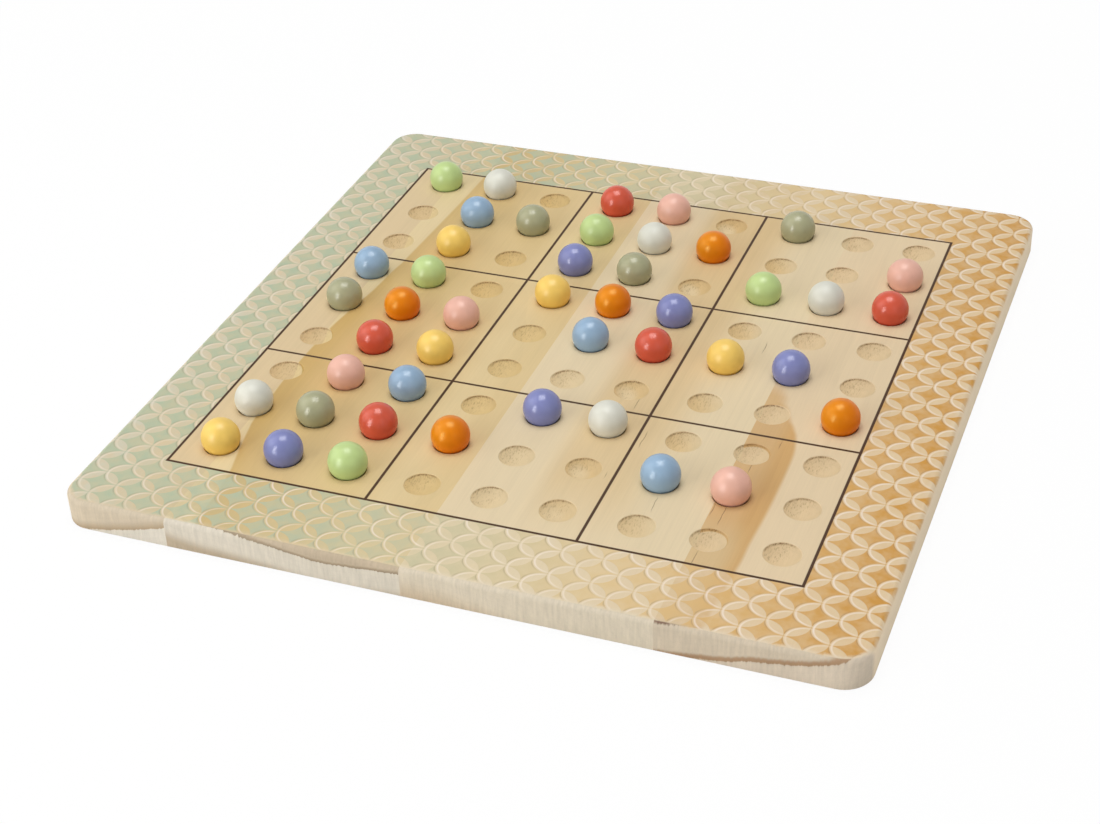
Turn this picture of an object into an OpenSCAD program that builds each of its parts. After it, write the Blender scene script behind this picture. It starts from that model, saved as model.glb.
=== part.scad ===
// Sudoku board: an edge-glued wooden panel with eighty-one shallow round hollows,
// and loose painted balls in nine colours that stand for the nine numbers.
// The origin lies under the middle of the board, X runs to the right and Y away from the player.

/* [Board] */
// Width of the board, across the grain
board_w = 305; // [285:0.5:360]
// Depth of the board, along the grain
board_d = 313.5; // [285:0.5:360]
// Thickness of the board
board_t = 12.2; // [9:0.1:24]
// Radius of the four corners, seen from above
corner_r = 11; // [4:0.5:24]
// Radius of the rolled edge round the top face
top_round = 2; // [0.5:0.1:3.5]
// Radius of the eased edge round the underside
foot_round = 0.4; // [0.2:0.1:2]

/* [Staves] */
// Width of a full stave
stave_w = 93.2; // [75:0.1:110]
// Place of the middle glue joint along the width, from the middle of the board
middle_joint = -14; // [-25:0.5:25]

/* [Balls] */
// Diameter of a ball
ball_d = 15; // [11:0.5:20]
// Gap between a ball at rest and the bottom of its hollow
seat_gap = 0.2; // [0.1:0.05:0.5]

/* [Hollows] */
// Depth of a hollow
hollow_depth = 3.8; // [2:0.1:5]
// How much larger the hollow's radius is than the ball's
hollow_ease = 0.75; // [0.3:0.05:2]
// Distance between hollows across the grain, within a block of three
pitch_x = 26.6; // [22:0.1:28]
// Distance between the middles of neighbouring blocks across the grain
block_x = 83.1; // [76:0.1:90]
// Distance between hollows along the grain
pitch_y = 27.3; // [22:0.05:30]
// Sideways shift of the field of hollows from the middle of the board
field_x = 0.6; // [-3:0.1:3]
// Shift of the field of hollows from the middle of the board, away from the player
field_y = 1.1; // [-3:0.1:3]

/* [Hidden] */
$fn = 96;

// A letter on the layout, the word for its colour, and the paint
PAINTS = [
    ["G", "green", "#a3d573"],
    ["W", "white", "#e0e0da"],
    ["R", "red", "#c9251d"],
    ["P", "pink", "#e8a39c"],
    ["S", "sage", "#8f9a80"],
    ["B", "blue", "#6f9fd0"],
    ["O", "orange", "#ee7a00"],
    ["Y", "yellow", "#f7cc4d"],
    ["V", "violet", "#5f62bd"],
];

// The puzzle as it is set out, farthest row first, with a dot for an empty hollow
LAYOUT = [
    "GW.RP.S..",
    ".BSGWO..P",
    ".Y.VS.GWR",
    "BG.YOV...",
    "SOP.BRYV.",
    ".RY.....O",
    ".PB.VW...",
    "WSRO..BP.",
    "YVG......",
];

// Cells along one side of the field, and cells along one side of a block
CELLS = 9;
BLOCK = 3;

ball_r = ball_d / 2;
hollow_r = ball_r + hollow_ease;
mouth_r = sqrt(hollow_depth * (2 * hollow_r - hollow_depth));
ball_z = board_t - hollow_depth + seat_gap + ball_r;

// How far a cutting shape runs past the face that it cuts
past = 1;

// The four staves, each with the place of its left and right side
STAVES = [
    ["stave_left", -board_w / 2 - past, middle_joint - stave_w],
    ["stave_middle_left", middle_joint - stave_w, middle_joint],
    ["stave_middle_right", middle_joint, middle_joint + stave_w],
    ["stave_right", middle_joint + stave_w, board_w / 2 + past],
];

// Place of a hollow from its column, counted from the left, and its row, counted from the far side
function column_x(col) =
    field_x + (floor(col / BLOCK) - 1) * block_x + (col % BLOCK - 1) * pitch_x;
function row_y(row) = field_y + ((CELLS - 1) / 2 - row) * pitch_y;

// The cells of the layout that hold a letter, in reading order
function cells_with(letter) = [
    for (row = [0 : CELLS - 1], col = [0 : CELLS - 1])
        if (LAYOUT[row][col] == letter) [col, row]
];

// One entry per ball: its name, its cell and its paint
BALLS = [
    for (paint = PAINTS)
        let (cells = cells_with(paint[0]))
            for (i = [0 : len(cells) - 1]) [str("ball_", paint[1], "_", i + 1), cells[i], paint[2]]
];

// Section through the board's edge, from a line inside it out to the edge
module edge_section(reach) {
    square([reach - top_round, board_t]);
    translate([0, foot_round]) square([reach, board_t - top_round - foot_round]);
    square([reach - foot_round, board_t - top_round]);
    translate([reach - top_round, board_t - top_round]) circle(top_round);
    translate([reach - foot_round, foot_round]) circle(foot_round);
}

// The edge section run along a straight side, from the middle of the board outwards
module straight_side(reach, length) {
    rotate([90, 0, 0]) linear_extrude(length, center = true) edge_section(reach);
}

// The whole panel before it is cut: two crossing bars with rolled edges and four turned corners
module panel() {
    inner_w = board_w - 2 * corner_r;
    inner_d = board_d - 2 * corner_r;
    for (side = [0, 180]) {
        rotate(side) straight_side(board_w / 2, inner_d);
        rotate(side + 90) straight_side(board_d / 2, inner_w);
    }
    for (sx = [-1, 1], sy = [-1, 1])
        translate([sx * inner_w / 2, sy * inner_d / 2, 0])
            rotate_extrude() edge_section(corner_r);
}

// The ball-shaped cut of every hollow that reaches into the strip between two sides
module hollows(left, right) {
    for (col = [0 : CELLS - 1], row = [0 : CELLS - 1]) {
        x = column_x(col);
        if (x + mouth_r > left && x - mouth_r < right)
            translate([x, row_y(row), board_t - hollow_depth + hollow_r]) sphere(hollow_r);
    }
}

// One stave: the panel between two sides, with its share of the hollows
module stave(left, right) {
    color("#dcc8a4")
        difference() {
            intersection() {
                panel();
                translate([left, -board_d / 2 - past, -past])
                    cube([right - left, board_d + 2 * past, board_t + 2 * past]);
            }
            hollows(left, right);
        }
}

// One ball at rest over its hollow
module ball(cell, paint) {
    color(paint) translate([column_x(cell[0]), row_y(cell[1]), ball_z]) sphere(ball_r);
}

for (s = STAVES) stave(s[1], s[2]);
for (b = BALLS) ball(b[1], b[2]);
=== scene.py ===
"""Looks of a wooden sudoku board with painted balls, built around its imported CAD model.

The board is an edge-glued panel of four pale pine staves. Its rim carries a printed pattern of overlapping
circles, and its field has thin printed lines and shallow turned hollows. The balls are turned wood in gloss
paint. Sizes are in millimetres, in the frame of the CAD model, unless a name says otherwise.
"""

import logging
import math
from dataclasses import dataclass, field
from enum import Enum
from typing import Mapping, Sequence, Union

import bpy
from mathutils import Matrix, Vector


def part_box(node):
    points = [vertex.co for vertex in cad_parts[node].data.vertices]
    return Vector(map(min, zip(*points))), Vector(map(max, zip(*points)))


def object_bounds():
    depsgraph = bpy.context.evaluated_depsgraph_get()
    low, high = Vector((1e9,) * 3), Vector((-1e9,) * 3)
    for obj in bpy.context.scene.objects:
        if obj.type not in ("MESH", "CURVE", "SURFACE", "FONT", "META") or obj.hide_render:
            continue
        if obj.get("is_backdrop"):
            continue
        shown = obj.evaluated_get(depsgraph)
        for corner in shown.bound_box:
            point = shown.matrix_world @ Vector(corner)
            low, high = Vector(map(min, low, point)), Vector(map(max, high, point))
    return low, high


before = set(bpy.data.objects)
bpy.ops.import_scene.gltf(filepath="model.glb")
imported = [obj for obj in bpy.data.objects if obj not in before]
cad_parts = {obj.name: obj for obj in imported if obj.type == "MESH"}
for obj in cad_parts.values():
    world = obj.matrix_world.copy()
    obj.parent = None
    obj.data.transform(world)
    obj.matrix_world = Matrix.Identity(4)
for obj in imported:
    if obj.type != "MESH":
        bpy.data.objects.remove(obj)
CAD_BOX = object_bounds()

MM = 0.001
SMOOTH = {"interpolation_type": "SMOOTHSTEP"}
# Nearly all values of a noise field lie between these two
NOISE_REACH = (0.25, 0.75)
log = logging.getLogger("sudoku_board")

Feed = Union[float, str, Sequence[float], bpy.types.Node, bpy.types.NodeSocket]
# A place on a colour ramp, and its grey value or hex colour
Stop = tuple[float, Union[float, str]]
# From and to, and the two values that these turn into
Range = tuple[float, float, float, float]
# Start and end, and half the width of the soft edge at each
Band = tuple[float, float, float, float]
# A direction in the frame of the board
Way = tuple[float, float, float]


def linear(colour: str) -> tuple[float, float, float, float]:
    """Turns an sRGB hex colour into linear light.

    Args:
        colour: The colour as a hash sign and six hex digits.

    Returns:
        Linear red, green and blue, and full alpha.
    """
    shares = [int(colour[i : i + 2], 16) / 255 for i in (1, 3, 5)]
    red, green, blue = (c / 12.92 if c <= 0.04045 else ((c + 0.055) / 1.055) ** 2.4 for c in shares)
    return red, green, blue, 1.0


class Graph:
    """The node tree of one material or world."""

    def __init__(self, owner: Union[bpy.types.Material, bpy.types.World]) -> None:
        """Empties the owner's node tree, so that it can be drawn afresh.

        Args:
            owner: The material or world.
        """
        owner.use_nodes = True
        self.tree = owner.node_tree
        self.tree.nodes.clear()

    def add(
        self,
        kind: str,
        feeds: Union[Sequence[Feed], Mapping[str, Feed]] = (),
        stops: Sequence[Stop] = (),
        **settings: object,
    ) -> bpy.types.Node:
        """Adds a node with its settings, values and links.

        Args:
            kind: Blender's name of the node, without its ShaderNode prefix.
            feeds: What the inputs read, in order or by name: a value, a hex colour, a node or a socket.
            stops: Places on a colour ramp from 0 to 1, each with a grey value or a hex colour.
            settings: The node's own properties.

        Returns:
            The new node.
        """
        node = self.tree.nodes.new("ShaderNode" + kind)
        for name, value in settings.items():
            setattr(node, name, value)
        for index, (place, value) in enumerate(stops):
            ramp = node.color_ramp.elements
            stop = ramp[index] if index < len(ramp) else ramp.new(place)
            stop.position = place
            stop.color = linear(value) if isinstance(value, str) else (value, value, value, 1.0)
        inputs = [socket for socket in node.inputs if socket.enabled]
        named = {socket.name: socket for socket in reversed(inputs)}
        pairs = feeds.items() if isinstance(feeds, Mapping) else enumerate(feeds)
        for key, feed in pairs:
            socket = named[key] if isinstance(key, str) else inputs[key]
            if isinstance(feed, bpy.types.Node):
                feed = next(out for out in feed.outputs if out.enabled)
            if isinstance(feed, bpy.types.NodeSocket):
                self.tree.links.new(feed, socket)
            else:
                socket.default_value = linear(feed) if isinstance(feed, str) else feed
        return node


@dataclass(frozen=True)
class BoardSizes:
    """What the whole panel measures, and where its grid is printed."""

    width: float
    depth: float
    top: float
    grid_side: float = 246.0
    grid_x: float = -1.3
    grid_y: float = 0.0
    line_w: float = 1.15
    blocks: int = 3
    corner_r: float = 11.0

    @classmethod
    def from_frame(cls, staves: Sequence[str]) -> "BoardSizes":
        """Reads the panel's size from the CAD model.

        Args:
            staves: Names of the staves that make up the panel.

        Returns:
            The panel's sizes.
        """
        corners = [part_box(stave) for stave in staves]
        low = [min(box[0][axis] for box in corners) / MM for axis in range(3)]
        high = [max(box[1][axis] for box in corners) / MM for axis in range(3)]
        return cls(width=high[0] - low[0], depth=high[1] - low[1], top=high[2])


@dataclass(frozen=True)
class Split:
    """A hair crack in the face of the board, along the grain.

    Attributes:
        x: Its place across the board, at the middle of its length.
        start: Where it begins along the grain.
        end: Where it ends.
        width: Its width.
        slant: How far it leans to the right per millimetre along the grain.
    """

    x: float
    start: float
    end: float
    width: float = 0.25
    slant: float = 0.0


@dataclass(frozen=True)
class Streak:
    """A band of growth rings of another colour.

    Attributes:
        inner: Distance from the pith at which it starts.
        outer: Distance from the pith at which it ends.
        colour: Its colour.
        soft_inner: Half the width of its soft inner edge.
        soft_outer: Half the width of its soft outer edge.
        along: Its strength from the front to the far end of the board.
        end_only: Whether it shows on the end grain alone.
    """

    inner: float
    outer: float
    colour: str
    soft_inner: float
    soft_outer: float
    along: Sequence[Stop] = ((0.0, 1.0), (1.0, 1.0))
    end_only: bool = False


@dataclass(frozen=True)
class StaveFigure:
    """The grain of one stave: where its pith ran, its heartwood, its darker rings and its hair cracks.

    Attributes:
        name: The stave's node.
        pith_x: Place of the pith across the board.
        pith_up: Height of the pith above the top face.
        sapwood: Colour of the sapwood.
        heartwood: Colour of the heartwood.
        heart_r: Distance from the pith at which the heartwood ends.
        heart_soft: Half the width of its soft edge.
        heart_across: Strength of the heartwood from the stave's left to its right.
        heart_wander: How the rings drift from the front to the far end, as shares of the largest drift.
        wander_mm: The largest drift.
        end_rise: How the rings shift on the end grain from left to right, as shares of the largest shift.
        end_rise_mm: The largest shift.
        end_ragged_mm: How ragged the rings are on the end grain.
        sway_mm: How far the rings sway.
        streaks: Rings of other colours.
        splits: Hair cracks.
    """

    name: str
    pith_x: float
    pith_up: float
    sapwood: str
    heartwood: str
    heart_r: float
    heart_soft: float = 0.12
    heart_across: Sequence[Stop] = ((0.0, 1.0), (1.0, 1.0))
    heart_wander: Sequence[Stop] = ((0.0, 0.0), (1.0, 0.0))
    wander_mm: float = 4.0
    end_rise: Sequence[Stop] = ((0.0, 0.0), (1.0, 0.0))
    end_rise_mm: float = 2.0
    end_ragged_mm: float = 0.9
    sway_mm: float = 1.0
    streaks: Sequence[Streak] = ()
    splits: Sequence[Split] = ()


@dataclass(frozen=True)
class Pattern:
    """A field of noise with cells of a real size.

    Attributes:
        cell_mm: Length of a cell across the board, along the grain and upwards.
        detail: How many finer layers it has.
        roughness: How strong the finer layers are.
    """

    cell_mm: tuple[float, float, float]
    detail: float
    roughness: float = 0.6


@dataclass(frozen=True)
class RimPrint:
    """Overlapping circles printed all round the rim, with a tint that turns from green to amber.

    Places on a circle are shares of its radius. The print stops a little short of the board's edge, most of
    all along the front.
    """

    # The lattice: its pitches, a place where circles meet, and the shifts of its two sets in pitches
    pitch_x: float = 15.56
    pitch_y: float = 13.41
    meet_x: float = 137.66
    meet_y: float = -123.0
    shifts: Sequence[tuple[float, float]] = ((0.0, 0.5), (0.5, 0.0))

    # Colours of the ink and of the petals, where circles overlap, from the left to the right
    tint_from: float = -151.0
    tint_to: float = 146.0
    tints: Sequence[Stop] = (
        (0.0, "#aeb99d"),
        (0.30, "#b3b99c"),
        (0.52, "#cabf9a"),
        (0.70, "#dabf8e"),
        (0.86, "#d3a969"),
        (1.0, "#c89240"),
    )
    petals: Sequence[Stop] = (
        (0.0, "#c9c9b8"),
        (0.2, "#bfae80"),
        (0.4, "#cabf99"),
        (0.61, "#dcccae"),
        (0.82, "#dbc29f"),
        (1.0, "#d9bb8f"),
    )
    petal_edge: Range = (0.97, 1.01, 1.0, 0.0)
    petal_height: float = 0.03

    # Raised ink with painted light: a painted highlight crescent inside each circle's left side, a painted
    # shadow line at its left tip
    painted_highlight_strength: Sequence[Stop] = ((0.0, 0.22), (0.1, 0.28), (0.2, 0.44), (0.5, 0.36), (0.7, 0.34), (0.85, 0.42))
    painted_highlight: Band = (0.85, 0.935, 0.03, 0.025)
    painted_highlight_side: Range = (-0.5, 0.25, 1.0, 0.0)
    painted_highlight_colour: str = "#f6eae0"
    outline: Band = (1.0, 1.06, 0.02, 0.05)
    painted_shadow_side: Range = (-1.0, -0.45, 1.0, 0.0)
    painted_shadow_colour: str = "#8a7566"
    painted_shadow_share: float = 0.4

    # Wear of the ink, of the petals and of the painted highlight: its patches, and how much they leave
    wear_patches: Pattern = Pattern((6.0, 6.0, 6.0), 2.0)
    wear: Range = (0.34, 0.66, 0.66, 1.0)
    petal_patches: Pattern = Pattern((5.0, 5.0, 5.0), 2.0)
    petal_wear: Range = (0.3, 0.7, 0.3, 0.8)
    painted_highlight_patches: Pattern = Pattern((9.0, 9.0, 9.0), 2.0)
    painted_highlight_wear: Range = (0.35, 0.65, 0.6, 1.4)

    # Where the print ends: its inset along the sides and the front, and its ragged edge
    side_inset: float = -0.3
    front_inset: float = 1.8
    front_from: float = 14.0
    front_to: float = 6.0
    ragged: Pattern = Pattern((4.0, 4.0, 4.0), 3.0)
    ragged_reach: float = 3.2
    ragged_by_saw: float = 1.2
    edge_fade: Range = (1.4, 3.9, 0.0, 1.0)
    facing: Range = (0.3, 0.75, 0.0, 1.0)


@dataclass(frozen=True)
class TurnedHollow:
    """A hollow's bare wood: torn in short strokes where the cutter ran against the grain, with painted light
    on its walls by the way they face, and torn grain with painted shade along its far rim.
    """

    # The depth at which it starts, painted light that lightens walls facing right and darkens walls facing
    # left, and its saturation
    drop: float = 0.12
    drop_soft: float = 0.2
    painted_wall_light: Way = (0.17, 0.06, 0.0)
    saturation: float = 1.07

    # Torn strokes, on the wall that faces one way
    tear: Pattern = Pattern((0.4, 1.9, 0.6), 2.0)
    tear_towards: Way = (0.8, -0.6, 0.0)
    tear_facing: Range = (-0.25, 0.45, 0.0, 1.0)
    strokes: Range = (0.5, 0.74, 0.0, 0.75)
    tear_colour: str = "#80602f"
    tear_share: float = 0.52
    tear_depth: float = 0.15

    # Torn grain and painted shade along the far wall's upper edge, between two depths
    torn_shaded_lip_towards: Way = (0.45, -0.9, 0.0)
    torn_shaded_lip_facing: Range = (0.2, 0.7, 0.0, 1.0)
    torn_shaded_lip_from: float = 0.7
    torn_shaded_lip_to: float = 0.1
    torn_shaded_lip_soft: tuple[float, float] = (0.3, 0.1)
    bites: Range = (0.35, 0.65, 0.3, 1.0)
    torn_shaded_lip_colour: str = "#7a5426"
    torn_shaded_lip_share: float = 0.85


class PineFinish:
    """Sanded pine boards under thin matt lacquer, with the ink of rim and grid.

    To the eye it is a warm, quiet satin. Fine fibres and soft clouds run along the grain. The sides are raw,
    so they look paler and greyer, with upright saw marks on the end grain; upright faces also carry painted
    light that makes them lighter.
    """

    # Patterns of the grain, the saw and the cracks. Real fibres are finer than the render can show, so they
    # are drawn as coarse as they need to be.
    FIBRE = Pattern((0.55, 24.0, 0.55), 3.0)
    CLOUD = Pattern((16.0, 150.0, 16.0), 2.0)
    SWAY = Pattern((60.0, 140.0, 60.0), 1.0)
    SAW_MARKS = Pattern((1.1, 3.0, 9.0), 4.0)
    WOBBLE = Pattern((4.0, 4.0, 4.0), 1.0)

    # Growth rings, and how much fibres, clouds and late wood change the tone
    RING_MM = 2.3
    LATE_WOOD: Range = (0.55, 1.0, 0.0, 1.0)
    LATE_TONE = -0.02
    FIBRE_TONE: Range = (*NOISE_REACH, 0.97, 1.03)
    CLOUD_TONE = 0.12
    TONE_SHIFT = 0.055

    # Raw sides: which way they face, how far the edge is rubbed bare, and how they differ from the face
    SIDE_FACING: Range = (0.9, 0.985, 1.0, 0.0)
    END_FACING: Range = (0.08, 0.35, 0.0, 1.0)
    RUBBED: Range = (2.0, 4.2, 1.0, 0.0)
    # Upright faces drawn up to a fifth lighter: partly the paler raw wood, partly painted light
    PALE_AND_LIT_SIDE_TONE: Range = (0.5, 0.98, 1.22, 1.0)
    LONG_GRAIN_SATURATION = 0.82
    END_GRAIN_TONE: Range = (*NOISE_REACH, 0.82, 1.0)
    END_GRAIN_SATURATION = 0.7
    END_HEART_TONE = -0.07

    # Printed lines and hair cracks
    LINE_INK = "#3e2206"
    LINE_SOFT = 0.12
    FIELD_SOFT = 0.1
    SPLIT_BROWN = "#5a4026"
    SPLIT_SHARE = 0.55
    SPLIT_WOBBLE = 0.9
    SPLIT_SOFT = 0.12
    SPLIT_END_SOFT = 2.0

    # Heights of the relief, and the gloss. The lacquer is thin and matt, so it mirrors less than lacquer's
    # usual index of 1.5 would.
    FIBRE_HEIGHT = 0.03
    SAW_HEIGHT = 0.12
    SPLIT_DEPTH = 0.2
    ROUGHNESS = 0.48
    RAW_ROUGHNESS = 0.72
    IOR = 1.27

    def __init__(self, figure: StaveFigure, sizes: BoardSizes, rim: RimPrint, hollow: TurnedHollow) -> None:
        """Draws the material of one stave.

        Args:
            figure: The stave's grain.
            sizes: What the whole panel measures.
            rim: The print on the rim.
            hollow: The finish of the hollows.
        """
        self.figure = figure
        self.sizes = sizes
        self.rim = rim
        self.hollow = hollow
        self.material = bpy.data.materials.new(f"lacquered_pine_{figure.name}")
        self.graph = Graph(self.material)
        self._read_place()
        self._read_surface()
        self._draw()

    def _read_place(self) -> None:
        """Sets up the place on the board in millimetres, and the way that the surface faces."""
        add, sizes = self.graph.add, self.sizes
        coordinates = add("TexCoord").outputs
        self.place = add("VectorMath", [coordinates["Object"], (1 / MM,) * 3], operation="MULTIPLY")
        self.x, self.y, self.z = add("SeparateXYZ", [self.place]).outputs
        self.facing = coordinates["Normal"]
        _, self.face_y, self.face_z = add("SeparateXYZ", [self.facing]).outputs
        low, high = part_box(self.figure.name)
        self.across = add("MapRange", [self.x, low.x / MM, high.x / MM, 0.0, 1.0])
        self.along = add("MapRange", [self.y, -sizes.depth / 2, sizes.depth / 2, 0.0, 1.0])
        moved = add("VectorMath", [self.place, (sizes.grid_x, sizes.grid_y, 0.0)], operation="SUBTRACT")
        out_x, out_y, _ = add("SeparateXYZ", [add("VectorMath", [moved], operation="ABSOLUTE")]).outputs
        self.from_middle = add("Math", [out_x, out_y], operation="MAXIMUM")
        corner = sizes.corner_r
        straight = (sizes.width / 2 - corner, sizes.depth / 2 - corner, sizes.top)
        off_middle = add("VectorMath", [self.place], operation="ABSOLUTE")
        past = add("VectorMath", [off_middle, straight], operation="SUBTRACT")
        past = add("VectorMath", [past, (0.0, 0.0, 0.0)], operation="MAXIMUM")
        beyond = add("VectorMath", [past], operation="LENGTH")
        self.edge_gap = add("Math", [corner, beyond], operation="SUBTRACT")

    def _read_surface(self) -> None:
        """Sets up the masks of rim, sides, end grain and hollows, and the patterns that steps share."""
        add, sizes = self.graph.add, self.sizes
        self.fibre = self._noise(self.FIBRE)
        self.saw = self._noise(self.SAW_MARKS)
        edge = sizes.grid_side / 2
        field_edge = (edge - self.FIELD_SOFT, edge + self.FIELD_SOFT)
        self.outside = add("MapRange", [self.from_middle, *field_edge, 0.0, 1.0])
        end = add("Math", [self.face_y], operation="ABSOLUTE")
        end = add("MapRange", [end, *self.END_FACING], **SMOOTH)
        self.end = add("Math", [end, self.outside], operation="MULTIPLY")
        turned = add("MapRange", [self.face_z, *self.SIDE_FACING], **SMOOTH)
        rubbed = add("MapRange", [self.edge_gap, *self.RUBBED], **SMOOTH)
        bare = add("Math", [turned, rubbed], operation="MAXIMUM")
        self.side = add("Math", [bare, self.outside], operation="MULTIPLY")
        self.end_grain = add("Math", [self.end, self.side], operation="MULTIPLY")
        below = sizes.top - self.hollow.drop
        lower = add("MapRange", [self.z, below - self.hollow.drop_soft, below, 1.0, 0.0])
        inside = add("Math", [1.0, self.outside], operation="SUBTRACT")
        self.sunk = add("Math", [inside, lower], operation="MULTIPLY")

    def _noise(self, pattern: Pattern) -> bpy.types.Node:
        """Lays a pattern over the whole board.

        Args:
            pattern: The size and detail of its cells.

        Returns:
            A node that gives values about one half.
        """
        per_mm = [1 / length for length in pattern.cell_mm]
        cells = self.graph.add("VectorMath", [self.place, per_mm], operation="MULTIPLY")
        feeds = {"Vector": cells, "Scale": 1.0, "Detail": pattern.detail, "Roughness": pattern.roughness}
        return self.graph.add("TexNoise", feeds)

    def _band(self, value: Feed, band: Band) -> bpy.types.Node:
        """A mask that is 1 between two values and falls off softly at each.

        Args:
            value: What is compared.
            band: Where the band starts and ends, and half the width of the fall at each.

        Returns:
            A node that gives the mask.
        """
        add = self.graph.add
        low, high, soft_low, soft_high = band
        rise = add("MapRange", [value, low - soft_low, low + soft_low, 0.0, 1.0], **SMOOTH)
        fall = add("MapRange", [value, high - soft_high, high + soft_high, 1.0, 0.0], **SMOOTH)
        return add("Math", [rise, fall], operation="MULTIPLY")

    def _ring_radius(self) -> bpy.types.Node:
        """The distance from the pith, swaying along the grain as a tree does, with ragged rings on end grain.

        Returns:
            A node that gives the distance in millimetres.
        """
        add, figure = self.graph.add, self.figure
        pith = (-figure.pith_x, 0.0, -self.sizes.top - figure.pith_up)
        from_pith = add("VectorMath", [self.place, (1.0, 0.0, 1.0), pith], operation="MULTIPLY_ADD")
        distance = add("VectorMath", [from_pith], operation="LENGTH")
        sway = self._noise(self.SWAY)
        centred = add("MapRange", [sway, 0.0, 1.0, -figure.sway_mm, figure.sway_mm])
        swayed = add("Math", [distance, centred], operation="ADD")
        wander = add("ValToRGB", [self.along], stops=figure.heart_wander)
        wander.color_ramp.interpolation = "CARDINAL"
        wandered = add("Math", [wander, -figure.wander_mm, swayed], operation="MULTIPLY_ADD")
        rise = add("ValToRGB", [self.across], stops=figure.end_rise)
        rise.color_ramp.interpolation = "CARDINAL"
        ragged = add("MapRange", [self.saw, 0.0, 1.0, -figure.end_ragged_mm, figure.end_ragged_mm])
        lifted = add("Math", [rise, figure.end_rise_mm, ragged], operation="MULTIPLY_ADD")
        return add("Math", [lifted, self.end, wandered], operation="MULTIPLY_ADD")

    def _wood(self) -> tuple[bpy.types.Node, bpy.types.Node]:
        """The lacquered wood, with heartwood, darker rings, fibres and soft clouds.

        Returns:
            A node that gives the colour, and one that gives a mask of the heartwood.
        """
        add, figure = self.graph.add, self.figure
        radius = self._ring_radius()
        heart_edge = (figure.heart_r - figure.heart_soft, figure.heart_r + figure.heart_soft)
        heart = add("MapRange", [radius, *heart_edge, 1.0, 0.0], **SMOOTH)
        share = add("ValToRGB", [self.across], stops=figure.heart_across)
        strength = add("Math", [heart, share], operation="MULTIPLY")
        colour = add("Mix", [strength, figure.sapwood, figure.heartwood], data_type="RGBA")
        for streak in figure.streaks:
            band = self._band(radius, (streak.inner, streak.outer, streak.soft_inner, streak.soft_outer))
            strength = self.end if streak.end_only else add("ValToRGB", [self.along], stops=streak.along)
            mask = add("Math", [band, strength], operation="MULTIPLY")
            colour = add("Mix", [mask, colour, streak.colour], data_type="RGBA")
        cloud = self._noise(self.CLOUD)
        turns = add("Math", [radius, 1 / self.RING_MM], operation="MULTIPLY")
        ring = add("Math", [turns], operation="FRACT")
        late = add("MapRange", [ring, *self.LATE_WOOD], **SMOOTH)
        tone = add("MapRange", [self.fibre, *self.FIBRE_TONE])
        tone = add("Math", [cloud, self.CLOUD_TONE, tone], operation="MULTIPLY_ADD")
        tone = add("Math", [late, self.LATE_TONE, tone], operation="MULTIPLY_ADD")
        tone = add("Math", [tone, self.TONE_SHIFT], operation="SUBTRACT")
        return add("HueSaturation", {"Color": colour, "Value": tone}), heart

    def _with_raw_sides(self, wood: bpy.types.Node, heart: bpy.types.Node) -> bpy.types.Node:
        """The wood with its sides left raw: paler and greyer, with upright saw marks on end grain, and
        painted light on upright faces.

        Args:
            wood: The colour of the lacquered wood.
            heart: A mask of the heartwood.

        Returns:
            A node that gives the colour with the sides blended in.
        """
        add = self.graph.add
        mark = add("MapRange", [self.saw, *self.END_GRAIN_TONE])
        mark = add("Math", [heart, self.END_HEART_TONE, mark], operation="MULTIPLY_ADD")
        # Painted light, with the paler raw wood: the more upright the face, the lighter
        upright = add("MapRange", [self.face_z, *self.PALE_AND_LIT_SIDE_TONE])
        tone = add("Mix", [self.end_grain, upright, mark])
        fade = add("Mix", [self.end_grain, self.LONG_GRAIN_SATURATION, self.END_GRAIN_SATURATION])
        raw = add("HueSaturation", {"Color": wood, "Saturation": fade, "Value": tone})
        return add("Mix", [self.side, wood, raw], data_type="RGBA")

    def _grid_lines(self) -> bpy.types.Node:
        """A mask of the printed lines that part the field into blocks.

        Returns:
            A node that gives the mask.
        """
        add, sizes = self.graph.add, self.sizes
        half_block = sizes.grid_side / sizes.blocks / 2
        gaps = []
        for axis, middle in ((self.x, sizes.grid_x), (self.y, sizes.grid_y)):
            start = add("Math", [axis, sizes.grid_side / 2 - middle], operation="ADD")
            gaps.append(add("Math", [start, half_block], operation="PINGPONG"))
        nearest = add("Math", gaps, operation="MINIMUM")
        half_w = sizes.line_w / 2
        line = add("MapRange", [nearest, half_w - self.LINE_SOFT, half_w + self.LINE_SOFT, 1.0, 0.0])
        reach = sizes.grid_side / 2 + half_w
        field_edge = (reach - self.FIELD_SOFT, reach + self.FIELD_SOFT)
        inside = add("MapRange", [self.from_middle, *field_edge, 1.0, 0.0])
        return add("Math", [line, inside], operation="MULTIPLY")

    def _circles(self, shift: Sequence[float]) -> tuple[bpy.types.Node, bpy.types.NodeSocket]:
        """One of the two sets of circles in the rim's pattern.

        Args:
            shift: How far the set is moved, in pitches.

        Returns:
            The distance from the nearest middle in radii, and the way there from the left, from -1 to 1.
        """
        add, rim = self.graph.add, self.rim
        scale = (1 / rim.pitch_x, 1 / rim.pitch_y, 0.0)
        offset = (shift[0] - rim.meet_x / rim.pitch_x, shift[1] - rim.meet_y / rim.pitch_y, 0.0)
        pitches = add("VectorMath", [self.place, scale, offset], operation="MULTIPLY_ADD")
        cell = add("VectorMath", [pitches], operation="FRACTION")
        # From 0 to 1 over a cell, to -1 to 1 about its middle
        local = add("VectorMath", [cell, (2.0, 2.0, 0.0), (-1.0, -1.0, 0.0)], operation="MULTIPLY_ADD")
        radius = add("VectorMath", [local], operation="LENGTH")
        return radius, add("SeparateXYZ", [local]).outputs["X"]

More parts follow.
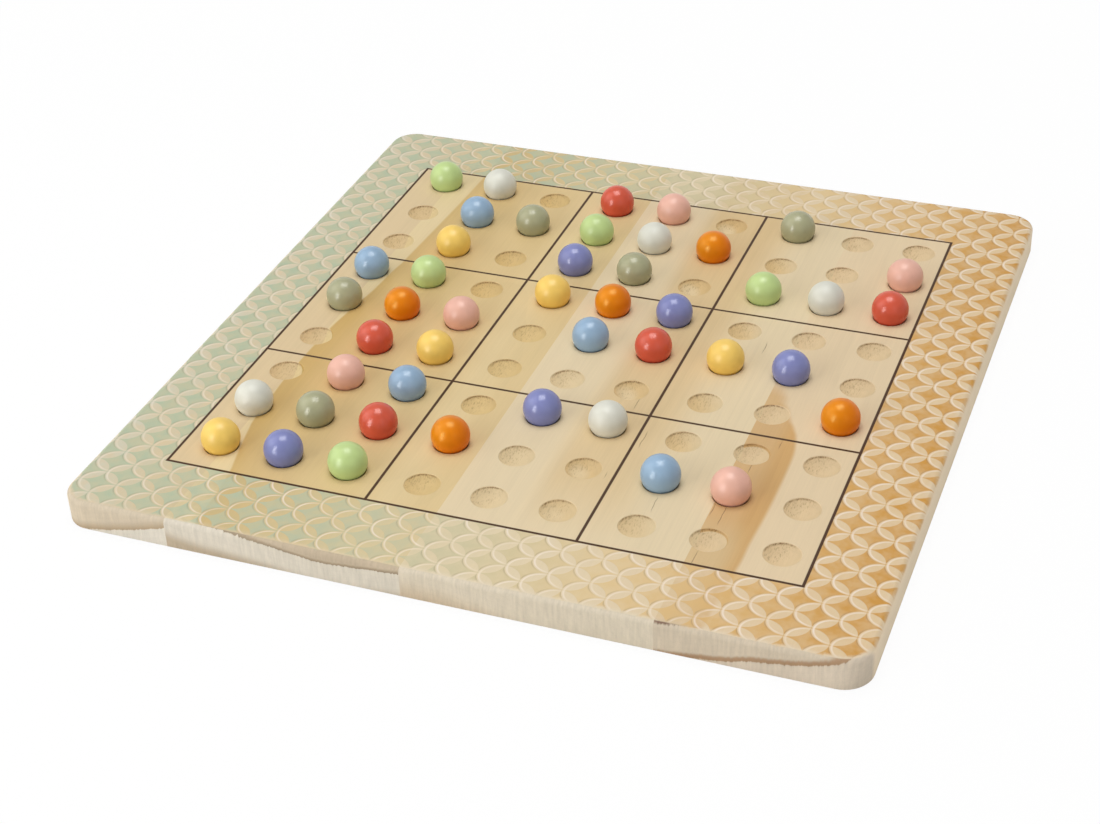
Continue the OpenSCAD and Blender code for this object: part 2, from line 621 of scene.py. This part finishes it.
    def _ink(self, wood: bpy.types.Node) -> tuple[bpy.types.Node, bpy.types.Node]:
        """The rim's pattern, as if it ran all over the wood, with the painted highlight and painted shadow of
        its raised ink.

        Args:
            wood: The colour of the wood under the print.

        Returns:
            A node that gives the printed colour, and one that gives a mask of the petals, where circles
            overlap.
        """
        add, rim = self.graph.add, self.rim
        inner, lights, shades = [], [], []
        for radius, left in [self._circles(shift) for shift in rim.shifts]:
            inner.append(add("MapRange", [radius, *rim.petal_edge], **SMOOTH))
            lit_side = add("MapRange", [left, *rim.painted_highlight_side], **SMOOTH)
            lights.append(add("Math", [self._band(radius, rim.painted_highlight), lit_side], operation="MULTIPLY"))
            left_tip = add("MapRange", [left, *rim.painted_shadow_side])
            shades.append(add("Math", [self._band(radius, rim.outline), left_tip], operation="MULTIPLY"))
        petal = add("Math", inner, operation="MULTIPLY")
        along = add("MapRange", [self.x, rim.tint_from, rim.tint_to, 0.0, 1.0])
        tint = add("ValToRGB", [along], stops=rim.tints)
        pale = add("ValToRGB", [along], stops=rim.petals)
        worn = add("MapRange", [self._noise(rim.wear_patches), *rim.wear])
        inked = add("Mix", [worn, wood, tint], data_type="RGBA")
        faded = add("MapRange", [self._noise(rim.petal_patches), *rim.petal_wear])
        bare = add("Mix", [faded, wood, pale], data_type="RGBA")
        printed = add("Mix", [petal, inked, bare], data_type="RGBA")
        # Painted highlight in the crescents, and painted shadow at the circles' left tips
        highlight_strength = add("ValToRGB", [along], stops=rim.painted_highlight_strength)
        patchy = add("MapRange", [self._noise(rim.painted_highlight_patches), *rim.painted_highlight_wear])
        highlight_strength = add("Math", [highlight_strength, patchy], operation="MULTIPLY")
        lit = add("Math", lights, operation="MAXIMUM")
        lit = add("Math", [lit, highlight_strength], operation="MULTIPLY")
        printed = add("Mix", [lit, printed, rim.painted_highlight_colour], data_type="RGBA")
        dark = add("Math", shades, operation="MAXIMUM")
        dark = add("Math", [dark, rim.painted_shadow_share], operation="MULTIPLY")
        return add("Mix", [dark, printed, rim.painted_shadow_colour], data_type="RGBA"), petal

    def _print_cover(self) -> bpy.types.Node:
        """A mask of the rim's print, which ends raggedly near the board's edge.

        Returns:
            A node that gives the mask.
        """
        add, rim = self.graph.add, self.rim
        front = -self.sizes.depth / 2
        near_front = (front + rim.front_from, front + rim.front_to)
        inset = add("MapRange", [self.y, *near_front, rim.side_inset, rim.front_inset])
        gap = add("Math", [self.edge_gap, inset], operation="SUBTRACT")
        gap = add("Math", [self.saw, rim.ragged_by_saw, gap], operation="MULTIPLY_ADD")
        ragged = self._noise(rim.ragged)
        gap = add("Math", [ragged, rim.ragged_reach, gap], operation="MULTIPLY_ADD")
        on_top = add("MapRange", [gap, *rim.edge_fade], **SMOOTH)
        upwards = add("MapRange", [self.face_z, *rim.facing], **SMOOTH)
        on_top = add("Math", [on_top, upwards], operation="MULTIPLY")
        return add("Math", [self.outside, on_top], operation="MULTIPLY")

    def _splits(self) -> bpy.types.Node:
        """A mask of the hair cracks in this stave, which has one or more.

        Returns:
            A node that gives the mask.
        """
        add = self.graph.add
        wobble = self._noise(self.WOBBLE)
        mask = None
        for split in self.figure.splits:
            away = add("Math", [self.x, split.x], operation="SUBTRACT")
            away = add("Math", [wobble, self.SPLIT_WOBBLE, away], operation="MULTIPLY_ADD")
            away = add("Math", [self.y, -split.slant, away], operation="MULTIPLY_ADD")
            centre = self.SPLIT_WOBBLE / 2 - split.slant * (split.start + split.end) / 2
            sides = (centre - split.width / 2, centre + split.width / 2)
            line = self._band(away, (*sides, self.SPLIT_SOFT, self.SPLIT_SOFT))
            reach = self._band(self.y, (split.start, split.end, self.SPLIT_END_SOFT, self.SPLIT_END_SOFT))
            crack = add("Math", [line, reach], operation="MULTIPLY")
            mask = crack if mask is None else add("Math", [mask, crack], operation="MAXIMUM")
        return mask

    def _torn_grain(self) -> tuple[bpy.types.Node, bpy.types.Node]:
        """Masks of the strokes that the cutter tore in a hollow, and of the torn grain and painted shade at
        the top of its far wall.

        Returns:
            A node that gives the strokes, and one that gives the torn and shaded lip.
        """
        add, hollow, top = self.graph.add, self.hollow, self.sizes.top
        towards = add("VectorMath", [self.facing, hollow.tear_towards], operation="DOT_PRODUCT")
        against = add("MapRange", [towards, *hollow.tear_facing], **SMOOTH)
        rough = self._noise(hollow.tear)
        stroke = add("MapRange", [rough, *hollow.strokes], **SMOOTH)
        torn = add("Math", [stroke, against], operation="MULTIPLY")
        towards = add("VectorMath", [self.facing, hollow.torn_shaded_lip_towards], operation="DOT_PRODUCT")
        far_wall = add("MapRange", [towards, *hollow.torn_shaded_lip_facing], **SMOOTH)
        torn_shaded_lip = self._band(self.z, (top - hollow.torn_shaded_lip_from, top - hollow.torn_shaded_lip_to, *hollow.torn_shaded_lip_soft))
        torn_shaded_lip = add("Math", [torn_shaded_lip, far_wall], operation="MULTIPLY")
        bitten = add("MapRange", [rough, *hollow.bites])
        torn_shaded_lip = add("Math", [torn_shaded_lip, bitten], operation="MULTIPLY")
        torn = add("Math", [torn, self.sunk], operation="MULTIPLY")
        return torn, add("Math", [torn_shaded_lip, self.sunk], operation="MULTIPLY")

    def _draw(self) -> None:
        """Puts wood, print, lines, cracks, torn grain and the hollows' painted light and shade together."""
        add, hollow = self.graph.add, self.hollow
        wood = self._with_raw_sides(*self._wood())
        ink, petal = self._ink(wood)
        cover = self._print_cover()
        colour = add("Mix", [cover, wood, ink], data_type="RGBA")
        torn, torn_shaded_lip = self._torn_grain()
        # Painted light: hollow walls that face right are drawn lighter, those that face left darker
        wall_light = add("VectorMath", [self.facing, hollow.painted_wall_light], operation="DOT_PRODUCT")
        tone = add("Math", [wall_light, 1.0], operation="ADD")
        turned = {"Color": colour, "Saturation": hollow.saturation, "Value": tone, "Fac": self.sunk}
        colour = add("HueSaturation", turned)
        share = add("Math", [torn, hollow.tear_share], operation="MULTIPLY")
        colour = add("Mix", [share, colour, hollow.tear_colour], data_type="RGBA")
        # Torn grain and painted shade along the far wall's upper edge
        share = add("Math", [torn_shaded_lip, hollow.torn_shaded_lip_share], operation="MULTIPLY")
        colour = add("Mix", [share, colour, hollow.torn_shaded_lip_colour], data_type="RGBA")
        colour = add("Mix", [self._grid_lines(), colour, self.LINE_INK], data_type="RGBA")
        height = add("Math", [self.fibre, self.FIBRE_HEIGHT], operation="MULTIPLY")
        printed = add("Math", [petal, cover], operation="MULTIPLY")
        height = add("Math", [printed, self.rim.petal_height, height], operation="MULTIPLY_ADD")
        height = add("Math", [torn, -hollow.tear_depth, height], operation="MULTIPLY_ADD")
        marks = add("Math", [self.saw, self.end_grain], operation="MULTIPLY")
        height = add("Math", [marks, self.SAW_HEIGHT, height], operation="MULTIPLY_ADD")
        if self.figure.splits:
            split = add("Math", [self._splits(), self.SPLIT_SHARE], operation="MULTIPLY")
            colour = add("Mix", [split, colour, self.SPLIT_BROWN], data_type="RGBA")
            height = add("Math", [split, -self.SPLIT_DEPTH, height], operation="MULTIPLY_ADD")
        raw = add("Math", [self.side, self.sunk], operation="MAXIMUM")
        roughness = add("MapRange", [raw, 0.0, 1.0, self.ROUGHNESS, self.RAW_ROUGHNESS])
        bump = add("Bump", {"Height": height, "Distance": MM, "Strength": 1.0})
        pine = {"Base Color": colour, "Roughness": roughness, "IOR": self.IOR, "Normal": bump}
        add("OutputMaterial", {"Surface": add("BsdfPrincipled", pine)})


class Paint(Enum):
    """The nine colours that stand for the nine numbers, each with the roughness of its coat."""

    GREEN = ("#bcd28b", 0.33)
    WHITE = ("#d8d7ca", 0.42)
    RED = ("#d0563d", 0.24)
    PINK = ("#e6b3a0", 0.36)
    SAGE = ("#a6a583", 0.27)
    BLUE = ("#92aec8", 0.26)
    ORANGE = ("#e07b0c", 0.3)
    YELLOW = ("#f2cb66", 0.36)
    VIOLET = ("#7f85b8", 0.23)

    def __init__(self, colour: str, roughness: float) -> None:
        """Keeps the colour and the roughness under their own names."""
        self.colour = colour
        self.roughness = roughness


@dataclass(frozen=True)
class GlossPaint:
    """Sprayed gloss enamel on turned wood: clear soft highlights over a faintly uneven coat.

    Orange carries painted light in its hue, yellower on the side towards the lamps and redder away from them,
    and has a warm gleam. The coat's index is a little lower than that of fresh enamel, as its gleam is soft.
    """

    mottle_mm: float = 5.0
    mottle_detail: float = 2.0
    mottle: float = 0.05
    ripple_mm: float = 2.2
    ripple_detail: float = 1.0
    ripple_height: float = 0.018
    ior: float = 1.33
    lit_side: Way = (-0.8, -0.3, 0.35)
    own_hue: float = 0.5
    hue_by_light: Mapping[Paint, float] = field(default_factory=lambda: {Paint.ORANGE: 0.011})
    gloss_tint: Mapping[Paint, str] = field(default_factory=lambda: {Paint.ORANGE: "#ffffaa"})

    def material(self, paint: Paint) -> bpy.types.Material:
        """Mixes one colour of the paint.

        Args:
            paint: Which of the nine colours.

        Returns:
            The material.
        """
        made = bpy.data.materials.new(f"gloss_enamel_{paint.name.lower()}")
        add = Graph(made).add
        coordinates = add("TexCoord").outputs
        place = coordinates["Object"]
        cells = {"Vector": place, "Scale": 1 / (self.mottle_mm * MM), "Detail": self.mottle_detail}
        uneven = add("TexNoise", cells)
        tone = add("MapRange", [uneven, *NOISE_REACH, 1 - self.mottle, 1 + self.mottle])
        coat: dict[str, Feed] = {"Color": paint.colour, "Value": tone}
        # Painted light: orange's hue turns yellower on the side that faces the lamps
        if paint in self.hue_by_light:
            lit = add("VectorMath", [coordinates["Normal"], self.lit_side], operation="DOT_PRODUCT")
            coat["Hue"] = add("Math", [lit, self.hue_by_light[paint], self.own_hue], operation="MULTIPLY_ADD")
        cells = {"Vector": place, "Scale": 1 / (self.ripple_mm * MM), "Detail": self.ripple_detail}
        ripple = add("TexNoise", cells)
        bump = add("Bump", {"Height": ripple, "Distance": self.ripple_height * MM, "Strength": 1.0})
        enamel: dict[str, Feed] = {"Roughness": paint.roughness, "IOR": self.ior, "Normal": bump}
        enamel["Base Color"] = add("HueSaturation", coat)
        if paint in self.gloss_tint:
            enamel["Specular Tint"] = self.gloss_tint[paint]
        add("OutputMaterial", {"Surface": add("BsdfPrincipled", enamel)})
        return made


@dataclass
class Panel:
    """The board: four staves glued edge to edge, printed as one."""

    rim: RimPrint = field(default_factory=RimPrint)
    hollow: TurnedHollow = field(default_factory=TurnedHollow)
    figures: Sequence[StaveFigure] = (
        StaveFigure(
            name="stave_left",
            pith_x=-175.0,
            pith_up=209.0,
            sapwood="#d5be96",
            heartwood="#d5be96",
            heart_r=100.0,
            sway_mm=0.3,
            streaks=(
                Streak(221.4, 223.4, "#b8965f", soft_inner=2.4, soft_outer=0.2, end_only=True),
                Streak(223.4, 240.0, "#e2d6be", soft_inner=0.2, soft_outer=1.0, end_only=True),
            ),
        ),
        StaveFigure(
            name="stave_middle_left",
            pith_x=-48.8,
            pith_up=196.7,
            sapwood="#dec99c",
            heartwood="#c8a666",
            heart_r=202.0,
            heart_soft=0.16,
            heart_across=(
                (0.0, 1.0),
                (0.06, 0.95),
                (0.13, 0.77),
                (0.4, 0.48),
                (0.63, 0.4),
                (0.77, 0.17),
                (0.93, 0.32),
            ),
            heart_wander=(
                (0.0, 0.0),
                (0.117, 0.2),
                (0.2, 0.62),
                (0.26, 0.72),
                (0.32, 0.8),
                (0.4, 0.76),
                (0.46, 0.68),
                (0.53, 0.48),
                (0.62, 0.3),
                (1.0, 0.0),
            ),
            end_rise=(
                (0.0, 0.0),
                (0.185, 0.54),
                (0.292, 0.875),
                (0.399, 0.99),
                (0.506, 0.855),
                (0.614, 0.43),
                (0.70, 0.25),
                (0.775, 0.30),
                (0.882, 0.28),
                (1.0, 0.03),
            ),
            end_rise_mm=2.8,
            sway_mm=0.4,
            streaks=(
                Streak(150.0, 201.9, "#cdb184", soft_inner=1.0, soft_outer=0.15, end_only=True),
                Streak(201.1, 202.0, "#a98c5c", soft_inner=0.7, soft_outer=0.15, end_only=True),
                Streak(202.0, 230.0, "#ded0b5", soft_inner=0.15, soft_outer=1.5, end_only=True),
                Streak(211.0, 230.0, "#c0a67c", soft_inner=2.5, soft_outer=1.0, end_only=True),
            ),
        ),
        StaveFigure(
            name="stave_middle_right",
            pith_x=-7.8,
            pith_up=-100.0,
            sapwood="#ddcaa6",
            heartwood="#d9ba88",
            heart_r=92.0,
            heart_soft=5.0,
            sway_mm=0.8,
            streaks=(
                Streak(
                    inner=103.0,
                    outer=117.0,
                    colour="#ccaa70",
                    soft_inner=1.2,
                    soft_outer=5.0,
                    along=((0.0, 0.0), (0.12, 0.05), (0.22, 0.42), (0.6, 0.52), (0.85, 0.6)),
                ),
            ),
            splits=(
                Split(x=59.0, start=-98.0, end=-90.0, slant=-0.05),
                Split(x=42.3, start=-61.5, end=-51.7),
                Split(x=36.4, start=-83.6, end=-81.0),
                Split(x=68.3, start=15.0, end=22.0),
                Split(x=32.2, start=-38.0, end=-31.0),
            ),
        ),
        StaveFigure(
            name="stave_right",
            pith_x=80.0,
            pith_up=157.7,
            sapwood="#ddc7a3",
            heartwood="#c9a067",
            heart_r=156.8,
            heart_across=((0.0, 0.78), (0.13, 0.8), (0.2, 1.0), (1.0, 1.0)),
            heart_wander=(
                (0.0, 0.81),
                (0.117, 0.92),
                (0.165, 0.93),
                (0.213, 0.965),
                (0.309, 0.98),
                (0.353, 0.95),
                (0.385, 0.838),
                (0.405, 0.7),
                (0.44, 0.55),
                (0.46, 0.5),
                (0.49, 0.4),
                (0.53, 0.2),
                (1.0, 0.0),
            ),
            wander_mm=2.1,
            end_rise=(
                (0.0, 0.0),
                (0.08, 0.1),
                (0.175, 0.46),
                (0.284, 0.53),
                (0.366, 0.66),
                (0.447, 0.97),
                (0.557, 0.76),
                (0.666, 0.36),
                (0.775, 0.15),
                (0.87, 0.01),
                (1.0, 0.0),
            ),
            end_rise_mm=2.1,
            sway_mm=0.15,
            streaks=(
                Streak(
                    inner=100.0,
                    outer=156.5,
                    colour="#d6c094",
                    soft_inner=1.0,
                    soft_outer=0.4,
                    along=((0.0, 0.55), (0.15, 0.45), (0.2, 0.0), (0.4, 0.0), (0.44, 0.5), (0.6, 0.6)),
                ),
                Streak(100.0, 190.0, "#d6bf99", soft_inner=1.0, soft_outer=1.0, end_only=True),
                Streak(100.0, 156.55, "#8a5c30", soft_inner=1.0, soft_outer=0.3, end_only=True),
                Streak(167.5, 169.4, "#b07d34", soft_inner=0.9, soft_outer=0.25, end_only=True),
                # Pale band low on the end grain, drawn as a ring: painted light for the lighter foot of the
                # face
                Streak(169.6, 190.0, "#dfc8a6", soft_inner=0.5, soft_outer=1.0, end_only=True),
            ),
            splits=(
                Split(x=81.9, start=-123.0, end=-115.6),
                Split(x=79.9, start=-93.5, end=-87.3),
                Split(x=84.1, start=-98.4, end=-87.3),
                Split(x=85.6, start=-65.2, end=-60.3),
                Split(x=92.2, start=-46.7, end=-43.0),
            ),
        ),
    )

    def dress(self) -> list[bpy.types.Object]:
        """Gives each stave its own lacquered and printed pine.

        Returns:
            The staves.
        """
        sizes = BoardSizes.from_frame([figure.name for figure in self.figures])
        staves = []
        for figure in self.figures:
            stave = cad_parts[figure.name]
            stave.data.materials.clear()
            stave.data.materials.append(PineFinish(figure, sizes, self.rim, self.hollow).material)
            staves.append(stave)
            log.info("dressed %s", stave.name)
        return staves


@dataclass
class BallSet:
    """The loose balls, each painted in the colour that its name holds."""

    finish: GlossPaint = field(default_factory=GlossPaint)

    def dress(self) -> list[bpy.types.Object]:
        """Paints every ball.

        Returns:
            The balls.
        """
        painted = []
        for paint in Paint:
            material = self.finish.material(paint)
            prefix = f"ball_{paint.name.lower()}_"
            for name in sorted(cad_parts):
                if name.startswith(prefix):
                    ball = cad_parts[name]
                    ball.data.materials.clear()
                    ball.data.materials.append(material)
                    painted.append(ball)
            log.info("painted the %s balls", paint.name.lower())
        return painted


@dataclass(frozen=True)
class SoftBox:
    """A soft studio lamp, aimed at the middle of the board."""

    name: str
    direction: Way
    distance_m: float
    width_m: float
    height_m: float
    watts: float
    gleam_only: bool = False

    def place(self) -> bpy.types.Object:
        """Hangs the lamp.

        Returns:
            The lamp's object.
        """
        lamp = bpy.data.lights.new(self.name, "AREA")
        lamp.shape = "RECTANGLE"
        lamp.size, lamp.size_y = self.width_m, self.height_m
        lamp.energy = self.watts
        hung = bpy.data.objects.new(self.name, lamp)
        towards = Vector(self.direction).normalized()
        hung.location = towards * self.distance_m
        hung.rotation_euler = towards.to_track_quat("Z", "Y").to_euler()
        hung.visible_camera = False
        hung.visible_diffuse = not self.gleam_only
        bpy.context.scene.collection.objects.link(hung)
        return hung


@dataclass
class Studio:
    """A white floor, soft light and the camera, from where the board was photographed."""

    eye: tuple[float, float, float] = (251.4, -658.6, 457.1)
    target: tuple[float, float, float] = (2.2, -49.9, 12.2)
    roll_deg: float = -2.78
    lens_mm: float = 67.6
    sensor_mm: float = 36.0
    floor_m: float = 8.0
    floor_drop: float = 0.1
    shadow_share: float = 0.06
    paper: str = "#fbfbfa"
    white: str = "#ffffff"
    sky: float = 0.35
    lamps: Sequence[SoftBox] = (
        SoftBox("overhead_box", (-0.053, 0.109, 0.991), 1.8, 1.05, 1.05, 16.8),
        SoftBox("overhead_gleam", (-0.053, 0.109, 0.991), 1.75, 0.95, 0.95, 20.0, gleam_only=True),
        SoftBox("left_wall", (-0.85, -0.30, 0.40), 1.5, 1.2, 1.0, 4.4),
        SoftBox("left_gleam", (-0.70, -0.20, 0.68), 1.45, 1.1, 1.1, 9.0, gleam_only=True),
        SoftBox("right_strip", (0.655, -0.567, 0.50), 1.4, 0.3, 0.8, 1.1),
        SoftBox("front_strip", (-0.451, -0.841, 0.30), 1.3, 0.27, 0.9, 4.8),
        SoftBox("front_gleam", (-0.451, -0.841, 0.30), 1.28, 0.45, 0.9, 12.0, gleam_only=True),
    )

    def _seen_directly(self, graph: Graph) -> bpy.types.Node:
        """A mask of rays that show the surface itself: to the camera, in a mirror or through glass.

        Args:
            graph: The tree that uses the mask.

        Returns:
            A node that gives the mask.
        """
        path = graph.add("LightPath").outputs
        shown = graph.add("Math", [path["Is Camera Ray"], path["Is Glossy Ray"]], operation="MAXIMUM")
        return graph.add("Math", [shown, path["Is Transmission Ray"]], operation="MAXIMUM")

    def _floor(self) -> None:
        """Lays a white floor that keeps a faint shadow."""
        bpy.ops.object.select_all(action="DESELECT")
        bpy.ops.mesh.primitive_plane_add(size=self.floor_m, location=(0.0, 0.0, -self.floor_drop * MM))
        floor = bpy.context.object
        floor.name = "floor"
        # Matt white backdrop paper: an even white ground, in which only a trace of the shadow shows
        paper = bpy.data.materials.new("white_paper")
        graph = Graph(paper)
        matt = graph.add("BsdfDiffuse", {"Color": self.paper})
        glow = graph.add("Emission", {"Color": self.white, "Strength": 1.0})
        share = graph.add("Math", [self._seen_directly(graph), 1 - self.shadow_share], operation="MULTIPLY")
        graph.add("OutputMaterial", {"Surface": graph.add("MixShader", [share, matt, glow])})
        floor.data.materials.append(paper)
        floor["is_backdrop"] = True

    def _sky(self) -> None:
        """Surrounds the board with plain white light."""
        world = bpy.data.worlds.new("white_studio")
        bpy.context.scene.world = world
        graph = Graph(world)
        strength = graph.add("MapRange", [self._seen_directly(graph), 0.0, 1.0, self.sky, 1.0])
        light = graph.add("Background", {"Color": self.white, "Strength": strength})
        graph.add("OutputWorld", {"Surface": light})

    def _camera(self) -> None:
        """Sets the camera up at the photograph's angle."""
        lens = bpy.data.cameras.new("photo_camera")
        lens.lens, lens.sensor_width, lens.sensor_fit = self.lens_mm, self.sensor_mm, "HORIZONTAL"
        camera = bpy.data.objects.new("photo_camera", lens)
        eye = Vector(self.eye) * MM
        aim = (Vector(self.target) * MM - eye).to_track_quat("-Z", "Y").to_matrix().to_4x4()
        roll = Matrix.Rotation(math.radians(self.roll_deg), 4, "Z")
        camera.matrix_world = Matrix.Translation(eye) @ aim @ roll
        bpy.context.scene.collection.objects.link(camera)
        bpy.context.scene.camera = camera

    def build(self) -> None:
        """Sets up floor, light and camera."""
        self._floor()
        self._sky()
        for lamp in self.lamps:
            lamp.place()
            log.info("hung %s", lamp.name)
        self._camera()
        bpy.context.scene.view_settings.view_transform = "Standard"


def write_sizes() -> None:
    """Gathers the box of the CAD model and the box of the dressed model, in metres; it writes nothing."""
    boxes = {"cad": CAD_BOX, "visual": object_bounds()}
    plain = {name: [list(corner) for corner in box] for name, box in boxes.items()}


def main() -> None:
    """Dresses the board and its balls, and sets up the studio."""
    logging.basicConfig(level=logging.INFO, format="%(name)s: %(message)s")
    staves = Panel().dress()
    balls = BallSet().dress()
    Studio().build()
    log.info("%d staves and %d balls", len(staves), len(balls))
    write_sizes()


if __name__ == "__main__":
    main()
